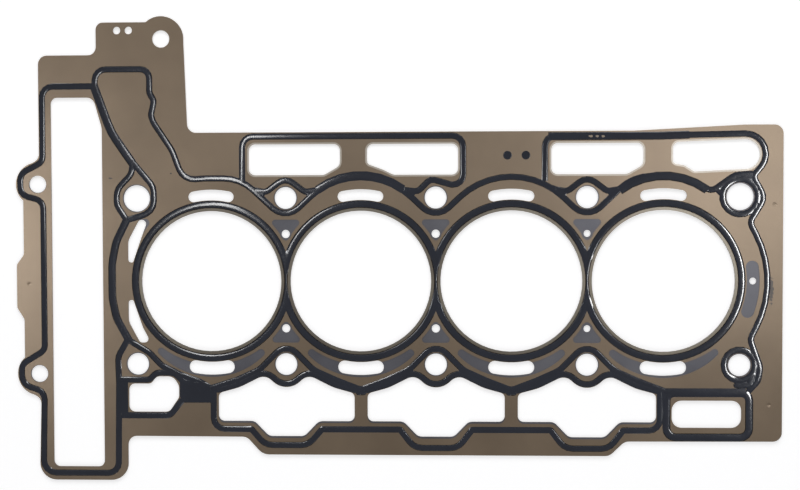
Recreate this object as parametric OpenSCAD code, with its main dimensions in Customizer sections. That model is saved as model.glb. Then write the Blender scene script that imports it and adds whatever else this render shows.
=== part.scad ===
// Cylinder head gasket of an inline four-cylinder engine, a stack of three steel sheets with raised
// sealing beads. It lies flat: X runs along the engine with the chain case on the left, Y points to the
// upper long edge and Z points up. The origin is the middle of the head bolt pattern, on the underside.

/* [Cylinders] */
// Radius of each cylinder opening
bore_r = 39.4; // [37:0.1:42]
// Distance between the rims of neighbouring cylinder openings
bore_web = 5.2; // [4.8:0.1:9]
// Width of the bare stopper ring round each opening
stopper_w = 1.5; // [1:0.1:1.8]
// Width of the raised sealing ring round each opening
bore_seal_w = 4.1; // [3:0.1:4.5]

/* [Head bolts] */
// Distance between the two rows of head bolts
bolt_row_gap = 93.3; // [92:0.1:96]
// Radius of the head bolt holes
bolt_hole_r = 6.1; // [5.5:0.1:6.4]
// Radius of the two dowel sleeve holes, at the ends of the upper row
dowel_hole_r = 7.4; // [6.6:0.1:7.8]
// How much wider the bolt holes are in the two outer sheets than in the carrier
outer_hole_step = 0.5; // [0.2:0.1:0.8]

/* [Coolant passages] */
// Gap between the sealing ring and the slots that follow it
slot_land = 0.2; // [0.1:0.1:0.6]
// Radial width of the slots above the cylinders
upper_slot_w = 6; // [5:0.1:7.5]
// Radial width of the slots below the cylinders
lower_slot_w = 7.3; // [6:0.1:8.2]
// Half the length of a slot, measured along X
slot_half = 12.8; // [10:0.1:15]
// Radius of the metering holes on the bolt columns
metering_r = 2.3; // [1.5:0.1:2.6]
// Distance from the sealing rings to the centres of the metering holes
metering_land = 4.46; // [4.2:0.02:5.2]
// Radius of the narrow metering holes on the last column and behind the last cylinder
small_metering_r = 1.9; // [1.2:0.1:2.2]

/* [Outline] */
// Distance from the cylinder line to the upper long edge
upper_edge = 83.3; // [83:0.1:88]
// How much further out the upper edge lies at the far end
upper_edge_rise = 3; // [1:0.1:4]
// Distance from the cylinder line to the lower edge at the far end
lower_edge = 89.2; // [88.5:0.1:92]
// Distance from the cylinder line to the edge below the three lower openings
flange_edge = 97.7; // [97:0.1:102]
// Distance from the last sealing ring to the far end
far_end = 20.3; // [18.8:0.1:25]
// Corner radius of the outline
edge_corner_r = 5; // [2:0.5:7]

/* [Openings above the cylinders] */
// Distance from the upper edge down to the openings
upper_rim = 6.7; // [6:0.1:8]
// Corner radius of the openings
window_r = 3.6; // [2:0.1:5]

/* [Openings below the cylinders] */
// Width of the two webs between the three openings
web_w = 7.3; // [5:0.1:9]
// Width of the rim below the openings, at their deepest
lower_rim = 10.4; // [9:0.1:11]
// How much deeper the middle of each opening reaches
sump_depth = 8.5; // [6:0.1:10]
// How far the two lower sheets reach out past the top sheet round the openings
layer_step = 1; // [0.6:0.1:1.2]

/* [Chain case] */
// Distance from the first sealing ring to the near side of the chain opening
chain_near = 16.3; // [15:0.1:18]
// Width of the chain opening
chain_w = 29; // [24:0.1:34]
// Width of the rim beyond the chain opening
chain_rim = 6.9; // [6.6:0.1:9]
// Distance from the cylinder line to the upper end of the chain opening
chain_top = 103.3; // [100:0.1:106]
// Distance from the cylinder line to the lower end of the chain opening
chain_bottom = 105; // [102:0.1:110]
// Radius of the bolt holes in the two ears and in the corner boss
case_hole_r = 4.75; // [3.5:0.05:5.2]
// Outer radius of the two ears
ear_r = 12.4; // [11:0.1:14]
// Outer radius of the corner boss
boss_r = 12.7; // [11:0.1:14]

/* [Sheets] */
// Thickness of the bottom sheet
bottom_t = 0.25; // [0.15:0.05:0.4]
// Thickness of the carrier sheet
carrier_t = 0.4; // [0.2:0.05:0.8]
// Thickness of the top sheet
top_t = 0.25; // [0.15:0.05:0.4]
// How much the stopper rings stand above the top sheet
stopper_rise = 0.05; // [0:0.01:0.1]

/* [Sealing beads] */
// Width of the raised beads
seal_w = 3.5; // [2.5:0.1:4]
// Width of the beads that carry the most load
wide_seal_w = 4.4; // [3.5:0.1:5]
// Height of the beads on the top face
upper_seal_h = 0.22; // [0.1:0.01:0.35]
// Height of the beads on the underside
lower_seal_h = 0.16; // [0.1:0.01:0.3]

/* [Hidden] */
$fn = 96;

// Gap between neighbouring rims round a cylinder
fit_gap = 0.1;
// How far the underside liquid seal stays back from the bore seal's crest
liquid_relief = 0.02;
// How far the facets of rounded corners and of beads may lie off the true arc
arc_sag = 0.04;
seal_sag = 0.14;
under_sag = 0.25;
// Cylinders are counted 0 to last_bore, bolt columns 0 to last_bore + 1
last_bore = 3;

// Heights of the faces, counted from the crest of the underside beads
z_bottom = lower_seal_h;
z_carrier = z_bottom + bottom_t;
z_stopper = z_carrier + carrier_t;
z_top = z_stopper + top_t;

// Radii round a cylinder, from the opening outwards
stopper_r = bore_r + stopper_w;
sheet_bore_r = stopper_r + fit_gap;
ring_in_r = sheet_bore_r + fit_gap;
ring_out_r = ring_in_r + bore_seal_w;
slot_in_r = ring_out_r + slot_land;
upper_slot_r = slot_in_r + upper_slot_w;
lower_slot_r = slot_in_r + lower_slot_w;

bore_pitch = 2 * bore_r + bore_web;
bolt_y = bolt_row_gap / 2;
metering_y = sqrt(pow(ring_out_r + metering_land, 2) - pow(bore_pitch / 2, 2));
first_x = bore_x(0);
last_x = bore_x(last_bore);
// What lies beside the first and the last cylinder moves with their sealing rings. Its places are
// counted from near_x and end_x, the cylinders' places moved out with the rings' outer edge.
ring_growth = ring_out_r - 45.2;
near_x = first_x - ring_growth;
end_x = last_x + ring_growth;
far_x = last_x + ring_out_r + far_end;
case_x = first_x - ring_out_r - chain_near - chain_w - chain_rim;
ear_x = case_x - 0.9;

function bore_x(i) = (i - last_bore / 2) * bore_pitch;
function column_x(i) = (i - (last_bore + 1) / 2) * bore_pitch;

// Rounded outlines are lists of corners, each an x, a y and the radius that rounds it
function corner(list, i) = list[(i + len(list)) % len(list)];
function point(c) = [c.x, c.y];
function unit(v) = v / norm(v);
function turn(v) = [-v.y, v.x];
function side(u, v) = u.x * v.y - u.y * v.x;

// Points of one rounded corner between its neighbours, sag off the true arc at most
function corner_points(before, here, after, sag = arc_sag) =
    let(u = unit(point(before) - point(here)), v = unit(point(after) - point(here)),
        half = acos(max(-1, min(1, u * v))) / 2, r = here[2])
    r == 0 || half > 89.9 ? [point(here)] :
    let(centre = point(here) + unit(u + v) * r / sin(half), sweep = 180 - 2 * half,
        steps = max(2, ceil(sweep / (2 * acos(1 - sag / max(r, 1))))),
        sense = side(u, v) > 0 ? -1 : 1,
        start = unit(point(here) + u * r / tan(half) - centre))
    [for (k = [0:steps]) let(a = sense * sweep * k / steps)
        centre + r * [start.x * cos(a) - start.y * sin(a), start.x * sin(a) + start.y * cos(a)]];

function closed_path(list, sag = arc_sag) = [for (i = [0:len(list) - 1])
    each corner_points(corner(list, i - 1), list[i], corner(list, i + 1), sag)];
function open_path(list, sag = arc_sag) = let(last = len(list) - 1)
    [for (i = [0:last]) each i == 0 || i == last ? [point(list[i])] :
        corner_points(list[i - 1], list[i], list[i + 1], sag)];

// Points of an arc round centre from angle a up to angle b, where the next stretch takes over
function arc(r, a, b, centre = [0, 0]) =
    let(steps = ceil(abs(b - a) / (2 * acos(1 - arc_sag / 2 / r))))
    [for (k = [0:steps - 1]) let(t = a + (b - a) * k / steps) centre + r * [cos(t), sin(t)]];

function shifted(list, x, y = 0) = [for (c = list) [c.x + x, c.y + y, c[2]]];
function mirrored(list) = [for (i = [len(list) - 1:-1:0]) [-list[i].x, list[i].y, list[i][2]]];

module rounded(list) {
    polygon(closed_path(list));
}

// Heights of the openings' edges, from the cylinder line
window_top = upper_edge - upper_rim;
window_low = upper_slot_r + 8;
window_h = window_top - window_low;
soft_r = min(window_r, 0.22 * window_h);
sump_y = lower_rim - flange_edge;
shelf_y = sump_y + sump_depth;
lower_top = -bolt_y - 13;
leg_x = near_x - 48;
leg_y = -chain_bottom - 7.6;
chain_x = case_x + chain_rim;
upper_ear = [ear_x, bolt_y + 8.05];
lower_ear = [ear_x, -bolt_y - 5.65];
tab_x = near_x - 64.5;
boss = [near_x - 27.7, chain_top + 32.5];

// Outline of the sheets, with the ears and the corner boss still to be added
function outline() = [
    [case_x - 1.3, leg_y, 9.5], [leg_x, leg_y, 9.5], [leg_x, -87.5, 5],
    [column_x(1) - 22.5, -87.7, 6], [column_x(1) - 13.5, -flange_edge, 8],
    [column_x(3) + 12.5, -flange_edge, 6], [column_x(3) + 21, -lower_edge - 0.3, 6],
    [far_x, -lower_edge, edge_corner_r], [far_x, upper_edge + upper_edge_rise, edge_corner_r],
    [far_x - 21, upper_edge + upper_edge_rise, 0], [last_x - 16, upper_edge, 0],
    [first_x - 13.1, upper_edge, 5], [boss.x + boss_r - 0.1, boss.y, 0], [boss.x, boss.y + 9.4, 0],
    [tab_x, boss.y + 9.4, 4], [tab_x, chain_top + 23.7, 4.5], [case_x, chain_top + 23.7, 5],
    [case_x, upper_ear.y + 14.2, 5], [upper_ear.x - ear_r / 2, upper_ear.y + 0.83 * ear_r, 0],
    [lug_in, upper_ear.y - 3, 0], [lug_in, 15, 3], [lug_out, 9.5, 3],
    [lug_out, -15, 3], [lug_in, -21.5, 3], [lug_in, lower_ear.y + 3, 0],
    [lower_ear.x - ear_r / 2, lower_ear.y - 0.83 * ear_r, 0], [case_x, lower_ear.y - 14.2, 5]];
lug_in = ear_x - 8.3;
lug_out = lug_in - 4.1;

function chain_opening() = [
    [chain_x, -chain_bottom, 3.5], [chain_x + chain_w, -chain_bottom, 3.5],
    [chain_x + chain_w, chain_top - 17, 12], [chain_x + chain_w - 4.8, chain_top, 5],
    [chain_x, chain_top, 3.5]];

// Opening with its lower corner cut away on the right, clear of the bead over a cylinder
function cut_window(left, right) = [
    [left, window_low, soft_r], [right - 9, window_low, 4], [right, window_low + 0.3 * window_h, 4],
    [right, window_top, soft_r], [left, window_top, soft_r]];
end_r = min(8.6, window_h / 2 - 0.5);
function upper_openings() = [
    cut_window(column_x(1) - 20.6, bore_x(1) - 11.4),
    [[bore_x(1) + 3.7, window_low + 0.36 * window_h, 2.5],
        [bore_x(1) + 13, window_low + 0.16 * window_h, 6], [bore_x(1) + 18.5, window_low, 5],
        [column_x(2) + 12.5, window_low, soft_r], [column_x(2) + 12.5, window_top, soft_r],
        [bore_x(1) + 3.7, window_top, soft_r]],
    cut_window(bore_x(2) + 22.2, bore_x(3) - 11),
    [[last_x + 5.1, window_low + 0.33 * window_h, 2.5],
        [last_x + 11.5, window_low + 0.27 * window_h, 4], [last_x + 16.8, window_low + 1.2, 2.5],
        [far_x - 12.7, window_low + 2.8, end_r], [far_x - 12.7, window_top + 2, end_r],
        [last_x + 5.1, window_top + 0.3, soft_r]]];

// Right half of an opening below a bolt column, from its middle top round to its middle bottom
window_half = (bore_pitch - web_w) / 2;
function lower_top_edge() = [
    [0, lower_top - 3.7, 11], [12, lower_top + 7.1, 6.5], [26.6, lower_top - 0.2, 25],
    [window_half, lower_top - 3.4, 3]];
function lower_bottom_edge() = [
    [window_half, shelf_y, 3.3], [18.2, shelf_y, 5], [10, sump_y, 5]];
function lower_opening(i) = let(half = concat(lower_top_edge(), lower_bottom_edge()))
    shifted(concat([for (c = half) if (c.x > 0) c], mirrored([for (c = half) if (c.x > 0) c]),
        [half[0]]), column_x(i));
function keyhole() = shifted([
    [-47.3, -73.8, 3.5], [-24.5, -73.8, 4], [-18.8, -65.5, 3], [-18.8, -59, 5],
    [-22, -53.7, 5.5], [-31.5, -53.7, 4], [-34.8, -57.8, 2.5], [-47.3, -57.8, 3.5]], near_x);
function end_opening() = [
    [last_x + 4.9, -lower_edge + 7.5, 5.5], [far_x - 22.3, -lower_edge + 7.5, 5.5],
    [far_x - 22.3, -66.5, 5.5], [last_x + 4.9, -66.5, 5.5]];
function side_slot(shoulder) = shifted([
    [-47.2, 10.6, 1.6], [-44.4, 10.6, 1], [-38.9, 26.5, 10],
    shoulder, [-40.8, 34.7, 2.2], [-47.2, 22.8, 8]], near_x);

// Slot along an arc round the origin, from angle a to angle b, with round ends
module arc_slot(in_r, out_r, a, b) {
    mid_r = (in_r + out_r) / 2;
    end_r = (out_r - in_r) / 2;
    polygon(concat(arc(out_r, a, b), arc(end_r, b, b + 180, mid_r * [cos(b), sin(b)]),
        arc(in_r, b, a), arc(end_r, a + 180, a + 360, mid_r * [cos(a), sin(a)])));
}

// Slots above and below each cylinder
module coolant_slots() {
    for (i = [0:last_bore], s = [1, -1]) {
        w = s > 0 ? upper_slot_w : lower_slot_w;
        spread = asin((slot_half - w / 2) / (slot_in_r + w / 2));
        translate([bore_x(i), 0])
            arc_slot(slot_in_r, slot_in_r + w, s * 90 - spread, s * 90 + spread);
    }
}

// Its shoulder beside the upper dowel hole, in the two lower sheets and in the top sheet
lower_shoulder = [-36, bolt_y - 12.45, 2.2];
top_shoulder = [-32.5, bolt_y - 10.85, 2.2];

module side_slots(shoulder) {
    rounded(side_slot(shoulder));
    mirror([0, 1]) rounded(side_slot([-34.6, bolt_y - 12.25, 2.2]));
}

// Bolt and dowel holes, each wider by the step given
module bolt_holes(step) {
    for (i = [0:last_bore + 1], s = [1, -1]) {
        dowel = s > 0 && (i == 0 || i == last_bore + 1);
        translate([column_x(i), s * bolt_y]) circle((dowel ? dowel_hole_r : bolt_hole_r) + step);
    }
    for (place = [upper_ear, lower_ear, boss])
        translate(place) circle(case_hole_r + step / 2);
}

module metering_holes() {
    for (i = [1:last_bore], s = [1, -1])
        translate([column_x(i), s * metering_y])
            circle(i == last_bore ? small_metering_r : metering_r, $fn = 48);
    translate([last_x + slot_in_r + 3.8, 0]) circle(small_metering_r, $fn = 48);
}

module marking_holes() {
    for (x = [-24.9, -18.3])
        translate([boss.x + x, boss.y + 4.9]) circle(2.1, $fn = 32);
}

// Everything that goes through all three sheets, apart from the cylinder openings
module through_openings(step = 0) {
    rounded(chain_opening());
    for (list = upper_openings()) offset(delta = step) rounded(list);
    for (i = [1:last_bore]) {
        rounded(lower_opening(i));
        translate([0, -step]) rounded(lower_opening(i));
    }
    rounded(keyhole());
    rounded(end_opening());
    coolant_slots();
    marking_holes();
}

module sheet_outline() {
    rounded(outline());
    for (place = [upper_ear, lower_ear]) translate(place) circle(ear_r);
    translate(boss) circle(boss_r);
}

module sheet(opening_r, step, hole_step) {
    difference() {
        sheet_outline();
        through_openings(step);
        bolt_holes(hole_step);
        for (i = [0:last_bore]) translate([bore_x(i), 0]) circle(opening_r);
    }
}

// Crescent pocket round a lower slot, between the angles a and b counted from straight down
module crescent(a, b) {
    in_r = slot_in_r + 1.4;
    deep = lower_slot_r + 1.2;
    sink = 12.5;
    offset(r = 2, $fn = 32) offset(delta = -2) difference() {
        intersection() {
            translate([0, -sink]) circle(deep - sink, $fn = 180);
            polygon([[0, 0], 80 * [-sin(a), -cos(a)], [0, -80], 80 * [sin(b), -cos(b)]]);
        }
        circle(in_r, $fn = 180);
    }
}

// Three-sided pocket between two cylinders, wide enough at its point for the metering hole
module web_pocket() {
    half = bore_pitch / 2;
    offset(r = 1.8, $fn = 32) offset(delta = -1.8) difference() {
        translate([-half / 2, metering_y - 5]) square([half, 13]);
        for (s = [1, -1]) translate([s * half, 0]) circle(slot_in_r + 1.5, $fn = 360);
    }
    translate([0, metering_y]) circle(metering_r + 0.9, $fn = 32);
}

// Openings of the top sheet that show the carrier
module pockets() {
    for (i = [0:last_bore]) translate([bore_x(i), 0]) crescent(i == 0 ? 48 : 37, i == last_bore ? 38 : 37);
    for (i = [1:last_bore], s = [0, 1]) translate([column_x(i), 0]) mirror([0, s]) web_pocket();
    translate([last_x, 0]) arc_slot(slot_in_r + 0.4, slot_in_r + 7.5, -20, 9);
}

module bottom_layer() {
    color("darkkhaki") translate([0, 0, z_bottom]) linear_extrude(bottom_t) difference() {
        sheet(bore_r, 0, outer_hole_step);
        side_slots(lower_shoulder);
        metering_holes();
    }
}

module carrier_layer() {
    color("dimgray") translate([0, 0, z_carrier]) linear_extrude(carrier_t) difference() {
        sheet(bore_r, 0, 0);
        side_slots(lower_shoulder);
        metering_holes();
    }
}

module top_layer() {
    color("tan") difference() {
        translate([0, 0, z_top - top_t]) linear_extrude(top_t) difference() {
            sheet(sheet_bore_r, layer_step, outer_hole_step);
            side_slots(top_shoulder);
            pockets();
        }
        spot_joints();
    }
}

// Shallow dents left by the spots that join the sheets
module spot_joints() {
    dent = 0.12;
    ball_r = 7;
    for (place = [[lug_in + 3, -1.5], [far_x - 4.6, bolt_y - 4.3], [far_x - 7.3, -bolt_y - 22.1]])
        translate([place.x, place.y, z_top + ball_r - dent]) sphere(ball_r);
}

module stopper_ring(i) {
    color("darkgray") translate([bore_x(i), 0, z_stopper]) linear_extrude(top_t + stopper_rise)
        difference() {
            circle(stopper_r);
            circle(bore_r);
        }
}

// Half of a bead's section, from its foot to its crest, as shares of its width and height.
// The first is the crowned section of the upper beads, the second the plainer one below.
crown = [[0.5, 0], [0.34, 0.7], [0.14, 1]];
under_crown = [[0.5, 0], [0.2, 1]];

// Corner points of the section where a bead passes place, square to its run
function section_points(half, place, out, w, h) = [
    for (c = half) [place.x + out.x * c[0] * w, place.y + out.y * c[0] * w, c[1] * h],
    for (k = [len(half) - 1:-1:0]) let(c = half[k])
        [place.x - out.x * c[0] * w, place.y - out.y * c[0] * w, c[1] * h]];

// Raised bead along a path of points
module bead(path, w, h, half, closed = false) {
    n = len(path);
    m = 2 * len(half);
    rings = [for (i = [0:n - 1])
        let(a = unit(closed || i > 0 ? path[i] - path[(i + n - 1) % n] : path[1] - path[0]),
            b = unit(closed || i < n - 1 ? path[(i + 1) % n] - path[i] : path[i] - path[i - 1]))
        section_points(half, path[i], turn(a + b) / (1 + a * b), w, h)];
    sides = [for (i = [0:n - (closed ? 1 : 2)], k = [0:m - 1])
        let(j = (i + 1) % n, l = (k + 1) % m) [i * m + k, j * m + k, j * m + l, i * m + l]];
    ends = closed ? [] : [[for (k = [0:m - 1]) k], [for (k = [m - 1:-1:0]) (n - 1) * m + k]];
    polyhedron(points = [for (ring = rings) each ring], faces = concat(sides, ends));
}

// Web of seal between two places, which fills the narrow fork where two beads run together
module fork(places, w, h) {
    hull() for (place = places) translate([place.x, place.y, 0])
        cylinder(h = 0.8 * h, r1 = w / 2, r2 = w / 4, $fn = 16);
}

// Runs of the liquid seal. Each is a list of corners with the radius that rounds it.
wave_crest = upper_slot_r + 22.4;
wave_valley = bolt_y - 12.45;
contour_y = upper_slot_r + 6.3;
top_run = upper_edge - 2.3;
loop_top = chain_top + 15.7;
case_run = chain_top + 6.3;

// Along the upper side: over each cylinder, and down between each pair, under the bolt
function upper_wave() = [
    [boss.x - 6.7, loop_top, 5], [boss.x - 6.7, 105.5, 5], [boss.x - 4, 101.5, 4],
    [boss.x - 5.9, 93.2, 4], [boss.x - 4.4, 88.9, 12], [boss.x + 6, 73.4, 20],
    [first_x - 15.6, contour_y - 1, 9],
    [first_x - 4, contour_y, 40], [first_x + 16.7, contour_y, 25],
    for (i = [1:last_bore]) each concat([[column_x(i), wave_valley, 10.5]],
        i == last_bore ? [] : [[bore_x(i), wave_crest, 42]]),
    [last_x - 16.7, contour_y + 0.5, 25], [last_x + 9, contour_y + 0.5, 30],
    [end_x + 26.5, bolt_y + 3, 5], [end_x + 39.2, bolt_y + 12.1, 9], [end_x + 49, bolt_y + 12.5, 0]];

// Over and under each upper bolt, from one flank of the wave to the other
function upper_arch(i) = shifted([
    [-17, bolt_y + 4.2, 0], [-11, bolt_y + 3.2, 4], [0, bolt_y + 11.6, 7],
    [11, bolt_y + 3.2, 4], [17, bolt_y + 4.2, 0]], column_x(i));

// Up from the wave, over the first two openings and back down to the middle bolt
function first_loop() = [
    [column_x(1) - 24.3, contour_y - 3, 0], [column_x(1) - 24.3, top_run, 6],
    [column_x(2) + 15.3, top_run, 6], [column_x(2) + 15.3, bolt_y + 6.9, 5.5],
    [column_x(2) + 8.5, bolt_y + 7.2, 5], [column_x(2) - 2.8, bolt_y + 10.4, 4],
    [column_x(2) - 10, bolt_y + 3.3, 4], [column_x(2) - 17, bolt_y + 4.2, 0]];

// Up from the wave, over the last two openings and down round the far end
function far_loop() = [
    [column_x(2) + 60.6, contour_y - 2, 0], [column_x(2) + 60.6, top_run - 0.2, 6],
    [last_x, top_run - 0.4, 30], [far_x - 9.7, top_run + 0.6, 11], [far_x - 9.7, bolt_y + 19.3, 9],
    [end_x + 48.9, bolt_y + 11.2, 3], [end_x + 55.6, bolt_y - 0.6, 7], [end_x + 47.2, 32.5, 5],
    [last_x + slot_in_r + 19.2, 0, 56.7], [end_x + 47.7, -32.2, 5], [end_x + 53.4, -bolt_y - 1, 7],
    [end_x + 52.3, -bolt_y - 8.8, 6], [end_x + 46.8, -bolt_y - 14.7, 0]];

// Diagonals between the chain opening and the first cylinder
function chain_diagonal() = [
    [chain_x + 24.2, case_run + 1.7, 0], [near_x - 56.4, 84, 40], [near_x - 44.2, bolt_y + 19.6, 0]];
function dowel_left() = [
    [near_x - 44.2, bolt_y + 19.6, 0], [near_x - 44.9, bolt_y + 13.6, 6],
    [near_x - 53.2, bolt_y + 5, 9], [near_x - 53.4, bolt_y - 3.7, 7], [near_x - 47.5, 34, 0]];
function dowel_right() = [
    [near_x - 45, bolt_y + 21.3, 0], [near_x - 32.3, bolt_y + 6.3, 8],
    [near_x - 32.3, bolt_y - 6.4, 8], [near_x - 38.5, bolt_y - 9.5, 3], [near_x - 47.5, 34.5, 0]];
function first_flank() = [
    [near_x - 46.8, 36.5, 0], [near_x - 54, 22, 18], [near_x - 56.3, 10, 25],
    [near_x - 56.3, -10, 25], [near_x - 54, -21, 18], [near_x - 46.6, -34.3, 0]];

// Round the chain opening and its two ears, then up to the first cylinder
function chain_loop() = [
    [tab_x - 1, case_run, 0], [case_x + 2.1, case_run, 6], [case_x + 2.1, upper_ear.y + 12.6, 5],
    [ear_x - 9.9, upper_ear.y + 6, 6], [ear_x - 9.9, upper_ear.y - 6, 5.5],
    [ear_x + 3.1, upper_ear.y - 9.2, 6], [ear_x + 3.1, lower_ear.y + 13.3, 5],
    [ear_x - 10.1, lower_ear.y + 5.2, 5], [ear_x - 10.1, lower_ear.y - 6.2, 7],
    [case_x + 1.9, lower_ear.y - 10.2, 6], [case_x + 0.9, leg_y + 4, 7],
    [leg_x - 5.6, leg_y + 4, 6], [leg_x - 4.9, -58, 20], [leg_x - 5.4, -bolt_y + 4, 8],
    [near_x - 47.8, -33, 0]];
function tab_loop() = concat([
    [tab_x - 1, case_run - 0.5, 0], [tab_x - 0.3, loop_top, 6]], upper_wave());

// Below the cylinders: between each bolt and its slots, and along the tops of the openings
function lower_wave() = [
    [near_x - 48, -32.5, 0], [near_x - 44, -35.2, 6], [near_x - 35.5, -40.2, 10],
    [near_x - 28.5, -47.6, 8], [first_x - 17, -53.2, 14], [first_x - 7, -56.6, 10],
    [first_x - 1, -60.2, 0]];
function lower_peaks() = [
    [first_x - 1, -lower_slot_r - 7.7, 0], [first_x + 14, -lower_slot_r - 2.9, 20],
    for (i = [1:last_bore]) each concat([[column_x(i) - 15.2, -bolt_y - 3.2, 14],
        [column_x(i), 12.2 - bolt_y, 8], [column_x(i) + 15.2, -bolt_y - 3.2, 14]],
        i == last_bore ? [] : [[bore_x(i) - 14, -lower_slot_r - 2.9, 20],
            [bore_x(i), -lower_slot_r - 8.3, 5], [bore_x(i) + 14, -lower_slot_r - 2.9, 20]]),
    [last_x - 14, -lower_slot_r - 2.9, 20], [last_x + 1, -lower_slot_r - 8.6, 0]];

// Corners of a run moved sideways by d, to its left
function parallel(list, d) = let(n = len(list) - 1)
    [for (i = [0:n])
        let(a = unit(point(i > 0 ? list[i] : list[1]) - point(i > 0 ? list[i - 1] : list[0])),
            b = unit(point(i < n ? list[i + 1] : list[n]) - point(i < n ? list[i] : list[n - 1])),
            place = point(list[i]) + turn(a + b) / (1 + a * b) * d,
            r = list[i][2] == 0 ? 0 : max(1, list[i][2] + (side(a, b) > 0 ? -d : d)))
        [place.x, place.y, r]];

function opening_tops() = parallel([
    [first_x - 1, lower_top - 2.9, 0],
    for (i = [1:last_bore]) each shifted(concat(
        mirrored([for (c = lower_top_edge()) if (c.x > 0) c]), lower_top_edge()), column_x(i)),
    [last_x - 1, lower_top - 3.4, 0]], seal_w / 2 + 0.15);
function opening_bottoms() = parallel([
    [first_x + 5, -bolt_y - 15, 0], [first_x + 5, shelf_y - 0.3, 2],
    for (i = [1:last_bore]) let(low = sump_y - (i == 1 ? 0.8 : 2.1)) each shifted([
        [-18, shelf_y - 0.3, 5], [-10.2, low, 5], [10.2, low, 5], [18, shelf_y - 0.3, 5]], column_x(i)),
    [last_x - 5.8, shelf_y - 0.3, 2], [last_x - 5.8, -bolt_y - 15, 0]], -4.2);

function end_loop() = [
    [last_x + 2, -lower_edge + 2.2, 5], [far_x - 18, -lower_edge + 2.2, 5],
    [far_x - 18, -62.3, 4], [last_x + 2, -62.3, 4]];
function keyhole_top() = shifted([
    [-53, -55.6, 0], [-35.6, -55.6, 3], [-31.6, -51.6, 4], [-21.5, -51.6, 5], [-13.6, -59.4, 0]],
    near_x);
function keyhole_bottom() = shifted([
    [-51.6, -75.8, 0], [-24, -75.8, 4], [-17, -67, 0]], near_x);
function ring_path(x, y, r, sag) = let(steps = ceil(180 / acos(1 - sag / r)))
    [for (k = [1:steps]) [x + r * cos(360 * k / steps), y + r * sin(360 * k / steps)]];
function wave_top(i) = [for (a = [127:-10.5:53])
    [bore_x(i) + 40 * cos(a), contour_y + (i == 1 ? 1.4 : 0.6) - 40 + 40 * sin(a)]];

module coat_patch(h) {
    linear_extrude(0.8 * h) polygon([[near_x - 18.3, -57], [near_x - 15, -55.6], [first_x - 2, -58.8],
        [first_x + 0.8, -60.4], [first_x + 0.8, -68.5], [near_x - 16.8, -68.5], [near_x - 18.4, -64.9]]);
    linear_extrude(0.8 * h) polygon([[near_x - 53.5, -54.8], [near_x - 47.9, -56.6],
        [near_x - 47.9, -74.6], [near_x - 53, -76]]);
}

module liquid_seal(h, half, sag) {
    for (run = [tab_loop(), first_loop(), upper_arch(1), upper_arch(last_bore), far_loop(),
        dowel_left(), dowel_right(), chain_loop(), lower_wave(), lower_peaks(), opening_tops(),
        opening_bottoms(), keyhole_top(), keyhole_bottom()])
        bead(open_path(run, sag), seal_w, h, half);
    bead(open_path(chain_diagonal(), sag), 1.1 * wide_seal_w, h, half);
    bead(open_path(first_flank(), sag), wide_seal_w, h, half);
    for (i = [1, last_bore]) bead(wave_top(i), 1.1 * wide_seal_w, h, half);
    bead(closed_path(end_loop(), sag), wide_seal_w, h, half, closed = true);
    bead([[column_x(2) + 62.5, top_run - 0.6], [last_x - 2, top_run - 0.6],
        [last_x + 14, top_run - 0.1]], wide_seal_w, h, half);
    bead([[last_x + 1, -61.8], [far_x - 20, -61.8]], wide_seal_w, h, half);
    last_column = column_x(last_bore + 1);
    bead(ring_path(last_column, bolt_y, dowel_hole_r + 2.4, sag), seal_w, h, half, closed = true);
    bead(ring_path(last_column, -bolt_y, bolt_hole_r + 2.5, sag), seal_w, h, half, closed = true);
    for (i = [1:last_bore], s = [1, -1]) {
        if (i != 2 || s < 0)
            fork([[column_x(i) + s * 13.2, bolt_y + 2.2], [column_x(i) + s * 19, bolt_y + 5]],
                seal_w, h);
        fork([[column_x(i) + s * 14.4, -bolt_y - 3], [column_x(i) + s * 20, -bolt_y - 8]], seal_w, h);
    }
    fork([[first_x + 8, -57.9], [first_x + 14.2, -56.2]], seal_w, h);
    fork([[end_x + 29.6, bolt_y + 3.9], [end_x + 32.1, bolt_y + 1.6]], seal_w, h);
    fork([[end_x + 43.5, bolt_y + 11], [end_x + 48, bolt_y + 10.6]], seal_w, h);
    fork([[last_column - 1.5, -bolt_y - 11.2], [last_column + 6, -bolt_y - 11.2]], seal_w, h);
    fork([[last_column + 5.4, -bolt_y - 11.4], [last_column + 7.8, -bolt_y - 5]], seal_w, h);
    fork([[last_x + 0.2, -61.9], [last_x + 0.6, -66]], seal_w, h);
    for (i = [1, 2]) fork([[bore_x(i) - 1.4, -62.3], [bore_x(i) + 1.4, -62.3]], seal_w, h);
    coat_patch(h);
}

module upper_liquid_seal() {
    color("midnightblue") translate([0, 0, z_top]) liquid_seal(upper_seal_h, crown, seal_sag);
}

module lower_liquid_seal() {
    color("midnightblue") translate([0, 0, z_bottom]) mirror([0, 0, 1])
        liquid_seal(lower_seal_h - liquid_relief, under_crown, under_sag);
}

// Sealing rings round all cylinders, run together in the webs between them
module bore_seal(h) {
    w = bore_seal_w;
    difference() {
        for (i = [0:last_bore]) translate([bore_x(i), 0]) rotate_extrude()
            polygon([[0, 0], [ring_out_r, 0], [ring_out_r - 0.16 * w, 0.7 * h],
                [ring_out_r - 0.36 * w, h], [0, h]]);
        for (i = [0:last_bore]) translate([bore_x(i), 0]) rotate_extrude()
            polygon([[0, -1], [ring_in_r, -1], [ring_in_r, 0], [ring_in_r + 0.16 * w, 0.7 * h],
                [ring_in_r + 0.36 * w, h], [ring_in_r + 0.36 * w, h + 1], [0, h + 1]]);
    }
}

module upper_bore_seal() {
    color("midnightblue") translate([0, 0, z_top]) bore_seal(upper_seal_h);
}

module lower_bore_seal() {
    color("midnightblue") translate([0, 0, z_bottom]) mirror([0, 0, 1]) bore_seal(lower_seal_h);
}

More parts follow.
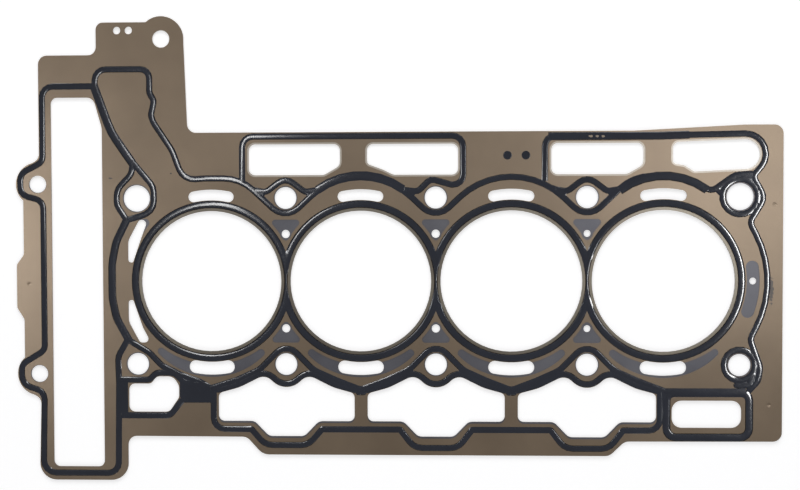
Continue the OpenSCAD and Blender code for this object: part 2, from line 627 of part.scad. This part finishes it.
// Two dots of coating between the second and the third opening
module marking_dots() {
    for (x = [-2.1, 8.1])
        color("midnightblue") translate([bore_x(2) + x, upper_edge - upper_rim - 6.6, z_top])
            cylinder(h = 0.04, r = 2.4, $fn = 48);
}

bottom_layer();
carrier_layer();
stopper_ring(0);  // stopper_ring_1
stopper_ring(1);  // stopper_ring_2
stopper_ring(2);  // stopper_ring_3
stopper_ring(3);  // stopper_ring_4
top_layer();
upper_bore_seal();
upper_liquid_seal();
lower_bore_seal();
lower_liquid_seal();
marking_dots();
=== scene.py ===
from math import pi, radians

import bmesh
import bpy
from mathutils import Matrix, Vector


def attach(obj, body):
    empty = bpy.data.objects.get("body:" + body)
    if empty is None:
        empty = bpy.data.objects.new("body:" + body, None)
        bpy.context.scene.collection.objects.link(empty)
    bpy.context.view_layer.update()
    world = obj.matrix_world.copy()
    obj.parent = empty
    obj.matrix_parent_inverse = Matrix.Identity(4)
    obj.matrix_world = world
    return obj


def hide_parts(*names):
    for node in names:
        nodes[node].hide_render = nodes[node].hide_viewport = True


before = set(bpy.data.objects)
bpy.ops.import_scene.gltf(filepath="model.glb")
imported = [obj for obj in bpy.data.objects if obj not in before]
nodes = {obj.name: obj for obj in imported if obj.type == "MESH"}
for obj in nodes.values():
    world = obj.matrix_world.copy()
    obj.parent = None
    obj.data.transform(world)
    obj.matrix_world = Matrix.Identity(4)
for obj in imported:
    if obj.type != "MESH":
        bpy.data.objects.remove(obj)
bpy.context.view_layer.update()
mm = 0.001
white = (1, 1, 1, 1)
print("frame loaded,", len(nodes), "nodes")


# Helpers for node trees

mixSockets = {"share": 0, "first": 6, "second": 7, "result": 2}  # the colour sockets of a Mix node


def setSocket(tree, socket, value):
    if isinstance(value, bpy.types.NodeSocket):
        tree.links.new(value, socket)
    else:
        socket.default_value = value


def addNode(tree, kind, inputs=None, **settings):
    node = tree.nodes.new(kind)
    for key, value in settings.items():
        setattr(node, key, value)
    for key, value in (inputs or {}).items():
        setSocket(tree, node.inputs[key], value)
    return node


def calc(tree, operation, first, second=0.0, clamp=False):
    return addNode(tree, "ShaderNodeMath", {0: first, 1: second},
                   operation=operation, use_clamp=clamp).outputs[0]


def vectorCalc(tree, operation, first, second):
    return addNode(tree, "ShaderNodeVectorMath", {0: first, 1: second}, operation=operation).outputs[0]


def remap(tree, value, fromMin, fromMax, toMin=0.0, toMax=1.0):
    return addNode(tree, "ShaderNodeMapRange", {"Value": value, "From Min": fromMin, "From Max": fromMax,
                                                "To Min": toMin, "To Max": toMax}).outputs[0]


def blendColor(tree, share, first, second):
    node = addNode(tree, "ShaderNodeMix", data_type="RGBA", blend_type="MIX")
    for key, value in (("share", share), ("first", first), ("second", second)):
        setSocket(tree, node.inputs[mixSockets[key]], value)
    return node.outputs[mixSockets["result"]]


def noise(tree, place, scale, detail, roughness):
    return addNode(tree, "ShaderNodeTexNoise", {"Vector": place, "Scale": scale, "Detail": detail,
                                                "Roughness": roughness}).outputs[0]


def addBump(tree, shader, height, depth):
    bump = addNode(tree, "ShaderNodeBump", {"Height": height, "Strength": 1.0, "Distance": depth})
    tree.links.new(bump.outputs[0], shader.inputs["Normal"])


def newGroup(name, inputs, outputs):
    tree = bpy.data.node_groups.new(name, "ShaderNodeTree")
    for label, kind, value in inputs:
        tree.interface.new_socket(label, in_out="INPUT", socket_type=kind).default_value = value
    for label, kind in outputs:
        tree.interface.new_socket(label, in_out="OUTPUT", socket_type=kind)
    return tree, tree.nodes.new("NodeGroupInput"), tree.nodes.new("NodeGroupOutput")


def placeGroup(tree, group, **values):
    node = tree.nodes.new("ShaderNodeGroup")
    node.node_tree = group
    for key, value in values.items():
        setSocket(tree, node.inputs[key], value)
    return node


def newMaterial(name):
    material = bpy.data.materials.new(name)
    material.use_nodes = True
    return material, material.node_tree, material.node_tree.nodes["Principled BSDF"]


# Shared effects, in millimetres of the gasket's own frame

scalar, triple = "NodeSocketFloat", "NodeSocketVector"
noiseSpan = (0.3, 0.7)  # nearly all values of a noise lie between these
patchShape = {"height": 1.0, "halfHeight": 30.0, "raggedGain": 4.0, "edgeGain": 5.0}


def millimetres(tree):
    place = tree.nodes.new("ShaderNodeTexCoord").outputs["Object"]
    return addNode(tree, "ShaderNodeMapping", {"Vector": place, "Scale": (1000, 1000, 1000)}).outputs[0]


def buildRolledGroup():
    # fine lines along the strip's rolling direction, and the slow unevenness of its tone
    tree, source, sink = newGroup("rolledStrip", [("stretch", scalar, 10.0), ("fineness", scalar, 1.0),
                                                  ("cloudSize", scalar, 40.0)],
                                  [("lines", scalar), ("cloud", scalar)])
    place = millimetres(tree)
    alongShare = calc(tree, "DIVIDE", 1.0, source.outputs["stretch"])
    squeeze = addNode(tree, "ShaderNodeCombineXYZ", {"X": alongShare, "Y": 1.0, "Z": 1.0}).outputs[0]
    lines = noise(tree, vectorCalc(tree, "MULTIPLY", place, squeeze), source.outputs["fineness"],
                  detail=3.0, roughness=0.65)
    cloud = noise(tree, place, calc(tree, "DIVIDE", 1.0, source.outputs["cloudSize"]),
                  detail=3.0, roughness=0.55)
    tree.links.new(lines, sink.inputs["lines"])
    tree.links.new(cloud, sink.inputs["cloud"])
    return tree


def buildPatchGroup():
    # a ragged spot with a given centre and half size
    tree, source, sink = newGroup("raggedPatch", [("centre", triple, (0, 0, 0)),
                                                  ("halfSize", triple, (1, 1, 9)),
                                                  ("ragged", scalar, 0.6), ("grit", scalar, 1.2)],
                                  [("mask", scalar)])
    place = millimetres(tree)
    away = vectorCalc(tree, "SUBTRACT", place, source.outputs["centre"])
    shares = vectorCalc(tree, "DIVIDE", away, source.outputs["halfSize"])
    far = addNode(tree, "ShaderNodeVectorMath", {0: shares}, operation="LENGTH").outputs["Value"]
    grain = noise(tree, place, calc(tree, "DIVIDE", 1.0, source.outputs["grit"]), detail=3.0, roughness=0.6)
    shift = calc(tree, "MULTIPLY", calc(tree, "SUBTRACT", grain, 0.5),
                 calc(tree, "MULTIPLY", source.outputs["ragged"], patchShape["raggedGain"]))
    edge = calc(tree, "SUBTRACT", 1.0, calc(tree, "ADD", far, shift))
    tree.links.new(calc(tree, "MULTIPLY", edge, patchShape["edgeGain"], clamp=True), sink.inputs["mask"])
    return tree


rolledStrip = buildRolledGroup()
raggedPatch = buildPatchGroup()


def patches(tree, places, ragged, grit):
    # the strongest of several ragged spots, each given as x, y, half length and half width
    total = None
    for x, y, halfX, halfY in places:
        mask = placeGroup(tree, raggedPatch, centre=(x, y, patchShape["height"]),
                          halfSize=(halfX, halfY, patchShape["halfHeight"]),
                          ragged=ragged, grit=grit).outputs["mask"]
        total = mask if total is None else calc(tree, "MAXIMUM", total, mask)
    return total


# Sheets and stopper rings: satin rolled steel

rolledGrain = {"stretch": 12.0, "fineness": 1.6, "cloudSize": 45.0}
toneSpan = (0.35, 0.65)  # the part of the cloud noise between the dark and the light tone

sheetFinish = {
    "dark": (0.175, 0.131, 0.090, 1), "light": (0.205, 0.154, 0.106, 1),
    "metallic": 0.5, "roughness": (0.285, 0.305), "grainDepth": 0.0008 * mm,
    "smear": (0.05, 0.048, 0.05, 1), "smearStrength": 0.85, "smearRagged": 0.6, "smearGrit": 1.2,
    "smears": [(-148.5, 60.5, 0.6, 0.5), (-182.8, 58.0, 1.2, 0.5), (185.2, -5, 1.3, 7.6)],
}
carrierFinish = {
    "dark": (0.085, 0.085, 0.10, 1), "light": (0.12, 0.12, 0.135, 1),
    "metallic": 0.5, "roughness": (0.3, 0.4), "grainDepth": 0.004 * mm,
    "rim": (0.42, 0.38, 0.33, 1), "rimFrom": (54, 58),  # painted highlight: the carrier is made lighter round the upper windows, from this y on, where lamp light falls on the rims
}
stopperFinish = {
    "dark": (0.15, 0.13, 0.105, 1), "light": (0.20, 0.18, 0.145, 1),
    "metallic": 0.7, "roughness": (0.26, 0.34), "grainDepth": 0.006 * mm,
}


def stripMaterial(name, finish):
    material, tree, shader = newMaterial(name)
    strip = placeGroup(tree, rolledStrip, **rolledGrain)
    tone = remap(tree, strip.outputs["cloud"], *toneSpan)
    color = blendColor(tree, tone, finish["dark"], finish["light"])
    # painted highlight: above a given y the carrier tone is blended towards a light tan, standing in for
    # lamp light on the rims round the upper windows
    if "rim" in finish:
        across = addNode(tree, "ShaderNodeSeparateXYZ", {"Vector": millimetres(tree)}).outputs["Y"]
        color = blendColor(tree, remap(tree, across, *finish["rimFrom"]), color, finish["rim"])
    if "smears" in finish:
        smear = patches(tree, finish["smears"], finish["smearRagged"], finish["smearGrit"])
        share = calc(tree, "MULTIPLY", smear, finish["smearStrength"])
        color = blendColor(tree, share, color, finish["smear"])
    setSocket(tree, shader.inputs["Base Color"], color)
    setSocket(tree, shader.inputs["Roughness"],
              remap(tree, strip.outputs["cloud"], *noiseSpan, *finish["roughness"]))
    shader.inputs["Metallic"].default_value = finish["metallic"]
    addBump(tree, shader, strip.outputs["lines"], finish["grainDepth"])
    return material


# Sealing coat: glossy printed rubber with a few worn spots

coatFinish = {
    "fresh": (0.009, 0.011, 0.019, 1), "worn": (0.014, 0.017, 0.027, 1), "bare": (0.26, 0.21, 0.16, 1),
    "roughness": (0.11, 0.16), "ior": 1.6,
    "skinFineness": 0.7, "skinDepth": 0.003 * mm, "cloudFineness": 0.05,
    "chipRagged": 0.35, "chipGrit": 1.0,
    "chips": [(86.0, 80.3, 1.2, 0.7), (89.5, 80.3, 1.0, 0.7), (92.6, 80.2, 1.0, 0.7),
              (-44.5, 53.3, 3.2, 0.5), (-40.5, 54.0, 2.0, 0.5)],
}


def coatMaterial(name, finish):
    material, tree, shader = newMaterial(name)
    place = millimetres(tree)
    skin = noise(tree, place, finish["skinFineness"], detail=4.0, roughness=0.6)
    cloud = noise(tree, place, finish["cloudFineness"], detail=2.0, roughness=0.5)
    color = blendColor(tree, remap(tree, cloud, *noiseSpan), finish["fresh"], finish["worn"])
    chip = patches(tree, finish["chips"], finish["chipRagged"], finish["chipGrit"])
    color = blendColor(tree, chip, color, finish["bare"])
    setSocket(tree, shader.inputs["Base Color"], color)
    setSocket(tree, shader.inputs["Roughness"], remap(tree, skin, *noiseSpan, *finish["roughness"]))
    shader.inputs["IOR"].default_value = finish["ior"]
    addBump(tree, shader, skin, finish["skinDepth"])
    return material


sheetSteel = stripMaterial("sheetSteel", sheetFinish)
carrierSteel = stripMaterial("carrierSteel", carrierFinish)
stopperSteel = stripMaterial("stopperSteel", stopperFinish)
sealCoat = coatMaterial("sealCoat", coatFinish)
print("materials ready")


def dressNode(name, material):
    mesh = nodes[name].data
    mesh.materials.clear()
    mesh.materials.append(material)


dressNode("bottom_layer", sheetSteel)
dressNode("top_layer", sheetSteel)
dressNode("carrier_layer", carrierSteel)
for number in (1, 2, 3, 4):
    dressNode("stopper_ring_" + str(number), stopperSteel)
print("sheets and rings dressed")


# Printed coat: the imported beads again, with one smooth skin over each crown

coatShape = {"mergeWithin": 0.002 * mm, "sharpAbove": radians(42)}
coatPieces = {"upperBoreCoat": "upper_bore_seal", "upperLiquidCoat": "upper_liquid_seal",
              "lowerBoreCoat": "lower_bore_seal", "lowerLiquidCoat": "lower_liquid_seal",
              "markingDots": "marking_dots"}


def smoothCoat(pieceName, nodeName):
    bm = bmesh.new()
    bm.from_mesh(nodes[nodeName].data)
    bmesh.ops.remove_doubles(bm, verts=bm.verts, dist=coatShape["mergeWithin"])
    bmesh.ops.recalc_face_normals(bm, faces=bm.faces)
    mesh = bpy.data.meshes.new(pieceName)
    bm.to_mesh(mesh)
    bm.free()
    mesh.shade_smooth()
    mesh.set_sharp_from_angle(angle=coatShape["sharpAbove"])
    mesh.materials.append(sealCoat)
    piece = bpy.data.objects.new(pieceName, mesh)
    bpy.context.scene.collection.objects.link(piece)
    # keeps the flat crests evenly lit at the forks
    evenNormals = piece.modifiers.new("evenNormals", "WEIGHTED_NORMAL")
    evenNormals.keep_sharp = True
    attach(piece, "root")
    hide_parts(nodeName)
    return piece


# The coat and the sheets each have lamps of their own
litAlone = {"coat": bpy.data.collections.new("coat"), "sheet": bpy.data.collections.new("sheet")}
for pieceName, nodeName in coatPieces.items():
    litAlone["coat"].objects.link(smoothCoat(pieceName, nodeName))
for nodeName in nodes:
    if nodeName not in coatPieces.values():
        litAlone["sheet"].objects.link(nodes[nodeName])
print("sealing coat made")


# Table: a flat disc whose rim bends up into a backdrop

tableShape = {"flat": 2.4, "reach": 0.72, "rise": 1.04, "segments": 96, "steps": 8}
tableLook = {"color": (0.86, 0.86, 0.87, 1), "roughness": 0.7, "glow": 0.56}


def makeTable():
    bm = bmesh.new()
    bmesh.ops.create_circle(bm, cap_ends=False, radius=tableShape["flat"], segments=tableShape["segments"])
    bmesh.ops.contextual_create(bm, geom=bm.edges[:])
    edges = bm.edges[:]
    for step in range(1, tableShape["steps"] + 1):
        grown = bmesh.ops.extrude_edge_only(bm, edges=edges)["geom"]
        verts = [part for part in grown if isinstance(part, bmesh.types.BMVert)]
        edges = [part for part in grown if isinstance(part, bmesh.types.BMEdge)]
        share = step / tableShape["steps"]
        radius = tableShape["flat"] + tableShape["reach"] * (1 - (1 - share) ** 2)
        height = tableShape["rise"] * share ** 2
        for vert in verts:
            outward = Vector((vert.co.x, vert.co.y, 0)).normalized() * radius
            vert.co = (outward.x, outward.y, height)
    bmesh.ops.recalc_face_normals(bm, faces=bm.faces)
    mesh = bpy.data.meshes.new("tableTop")
    bm.to_mesh(mesh)
    bm.free()
    mesh.shade_smooth()
    table = bpy.data.objects.new("tableTop", mesh)
    bpy.context.scene.collection.objects.link(table)
    material, tree, shader = newMaterial("whiteTable")
    shader.inputs["Base Color"].default_value = tableLook["color"]
    shader.inputs["Roughness"].default_value = tableLook["roughness"]
    ray = tree.nodes.new("ShaderNodeLightPath").outputs
    seen = calc(tree, "MAXIMUM", calc(tree, "MAXIMUM", ray["Is Camera Ray"], ray["Is Glossy Ray"]),
                ray["Is Transmission Ray"])
    shader.inputs["Emission Color"].default_value = white
    tree.links.new(calc(tree, "MULTIPLY", seen, tableLook["glow"]), shader.inputs["Emission Strength"])
    mesh.materials.append(material)


makeTable()
print("table made")


# Light: a dim even world, two narrow lamps for the coat, three wide ones for the sheets, and two fills.
# Place and aim are in metres, size is across and along, and glow is the lamp's own brightness.

worldGlow = 0.28
lamps = {
    "leftStrip": {"place": (-0.255, 0.11, 0.80), "aim": (-0.15, 0.07, 0.0), "size": (0.06, 0.20),
                  "glow": 17.0, "only": "coat"},
    "rightStrip": {"place": (0.50, 0.0, 0.80), "aim": (0.16, 0.01, 0.0), "size": (0.075, 0.34),
                   "glow": 40.0, "only": "coat"},
    "leftBox": {"place": (-0.63, 0.0, 0.80), "aim": (-0.2, 0.02, 0.0), "size": (0.26, 0.28),
                "glow": 7.6, "only": "sheet"},
    "rightBox": {"place": (0.36, 0.10, 0.80), "aim": (0.15, 0.05, 0.0), "size": (0.30, 0.34),
                 "glow": 4.2, "only": "sheet"},
    "topBox": {"place": (-0.05, 0.15, 0.85), "aim": (-0.05, 0.05, 0.0), "size": (0.36, 0.75),
               "glow": 0.65, "only": "sheet"},
    "backFill": {"place": (0.0, 1.20, 0.60), "aim": (0.0, 0.0, 0.0), "size": (0.5, 1.6), "glow": 3.6},
    "frontFill": {"place": (0.0, -1.20, 0.60), "aim": (0.0, 0.0, 0.0), "size": (0.5, 1.6), "glow": 1.2},
}

world = bpy.data.worlds.new("studio")
world.use_nodes = True
background = world.node_tree.nodes["Background"]
background.inputs["Color"].default_value = white
background.inputs["Strength"].default_value = worldGlow
bpy.context.scene.world = world

for lampName, lamp in lamps.items():
    light = bpy.data.lights.new(lampName, "AREA")
    light.shape = "RECTANGLE"
    light.size, light.size_y = lamp["size"]
    light.energy = lamp["glow"] * pi * light.size * light.size_y
    holder = bpy.data.objects.new(lampName, light)
    holder.location = lamp["place"]
    way = Vector(lamp["aim"]) - Vector(lamp["place"])
    holder.rotation_euler = way.to_track_quat("-Z", "X").to_euler()
    holder.visible_camera = False
    bpy.context.scene.collection.objects.link(holder)
    if "only" in lamp:
        holder.light_linking.receiver_collection = litAlone[lamp["only"]]
print("lamps hung")


# Camera, nearly square above the sheet as in the photograph

cameraPlace = {"location": (0.00727, 0.04063, 0.70023), "turnDegrees": (-1.6772, 2.2244, -0.1522),
               "lens": 56.435, "sensorWidth": 36, "clipStart": 0.01}

cameraData = bpy.data.cameras.new("camera")
cameraData.lens = cameraPlace["lens"]
cameraData.sensor_width = cameraPlace["sensorWidth"]
cameraData.clip_start = cameraPlace["clipStart"]
camera = bpy.data.objects.new("camera", cameraData)
camera.location = cameraPlace["location"]
camera.rotation_euler = [radians(angle) for angle in cameraPlace["turnDegrees"]]
bpy.context.scene.collection.objects.link(camera)
bpy.context.scene.camera = camera
bpy.context.scene.view_settings.view_transform = "Standard"
print("camera set")

print("gasket dressed")
